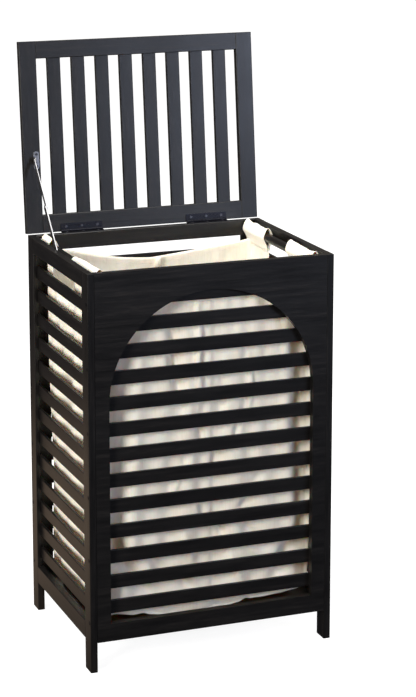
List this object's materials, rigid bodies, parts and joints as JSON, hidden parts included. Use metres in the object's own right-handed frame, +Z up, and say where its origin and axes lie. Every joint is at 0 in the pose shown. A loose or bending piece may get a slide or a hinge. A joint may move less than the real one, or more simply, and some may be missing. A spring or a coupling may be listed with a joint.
{
  "type": "laundry hamper with lid",
  "caption": "Slatted wooden laundry hamper with an arched front, a hinged slatted lid on a folding stay, and a cotton liner bag hung on rods.",
  "frame": {"origin": "on the floor, in the middle of the body's footprint, between the four legs", "axes": "+X to the hamper's right, +Y to its back, +Z up; the front with the arched opening faces -Y"},
  "size_m": [0.429, 0.3802, 0.9987],
  "materials": {
    "black_wood": "black stain, satin",
    "cotton": "undyed cotton weave",
    "dark_steel": "black",
    "screw_steel": "plain",
    "stay_steel": "zinc plated"
  },
  "bodies": {
    "body": {"left_front_leg": "black_wood", "left_rear_leg": "black_wood", "right_front_leg": "black_wood", "right_rear_leg": "black_wood", "left_top_rail": "black_wood", "left_bottom_rail": "black_wood", "right_top_rail": "black_wood", "right_bottom_rail": "black_wood", "front_arch_panel": "black_wood", "back_top_rail": "black_wood", "back_bottom_rail": "black_wood", "back_left_stile": "black_wood", "back_right_stile": "black_wood", "front_slats": "black_wood", "back_slats": "black_wood", "left_slats": "black_wood", "right_slats": "black_wood", "bottom_panel": "black_wood", "floor_cleats": "black_wood", "left_rod": "black_wood", "right_rod": "black_wood", "liner_bag": "cotton", "liner_sleeves": "cotton", "frame_screws": "dark_steel", "left_hinge_body_leaf": "dark_steel", "right_hinge_body_leaf": "dark_steel", "left_hinge_pin": "dark_steel", "right_hinge_pin": "dark_steel", "hinge_body_screws": "screw_steel", "stay_body_plate": "stay_steel", "stay_body_screws": "screw_steel", "stay_body_rivet": "stay_steel"},
    "lid": {"lid_left_stile": "black_wood", "lid_right_stile": "black_wood", "lid_front_rail": "black_wood", "lid_rear_rail": "black_wood", "lid_slat_1": "black_wood", "lid_slat_2": "black_wood", "lid_slat_3": "black_wood", "lid_slat_4": "black_wood", "lid_slat_5": "black_wood", "lid_slat_6": "black_wood", "lid_slat_7": "black_wood", "lid_slat_8": "black_wood", "left_hinge_lid_leaf": "dark_steel", "right_hinge_lid_leaf": "dark_steel", "hinge_lid_screws": "screw_steel", "stay_lid_bracket": "stay_steel", "stay_lid_screws": "screw_steel", "stay_lid_rivet": "stay_steel"},
    "stay_lower": {"stay_lower_arm": "stay_steel", "stay_knee_rivet": "stay_steel"},
    "stay_upper": {"stay_upper_arm": "stay_steel"}
  },
  "joints": [
    {"name": "lid_hinge", "type": "hinge", "parent": "body", "child": "lid", "pos_m": [0, 0.1673, 0.6722], "axis": [1, 0, 0], "range_deg": [0, 96.6]},
    {"name": "stay_lower_pivot", "type": "hinge", "parent": "body", "child": "stay_lower", "pos_m": [-0.1995, 0.036, 0.656], "axis": [1, 0, 0], "range_deg": [-72.9, 0]},
    {"name": "stay_upper_pivot", "type": "hinge", "parent": "lid", "child": "stay_upper", "pos_m": [-0.1976, 0.17433, 0.79664], "axis": [1, 0, 0], "range_deg": [0, 4.1]}
  ],
  "couplings": [
    {"joint": "stay_lower_pivot", "follows": "lid_hinge", "ratio": -0.75421},
    {"joint": "stay_upper_pivot", "follows": "lid_hinge", "ratio": 0.04208}
  ]
}
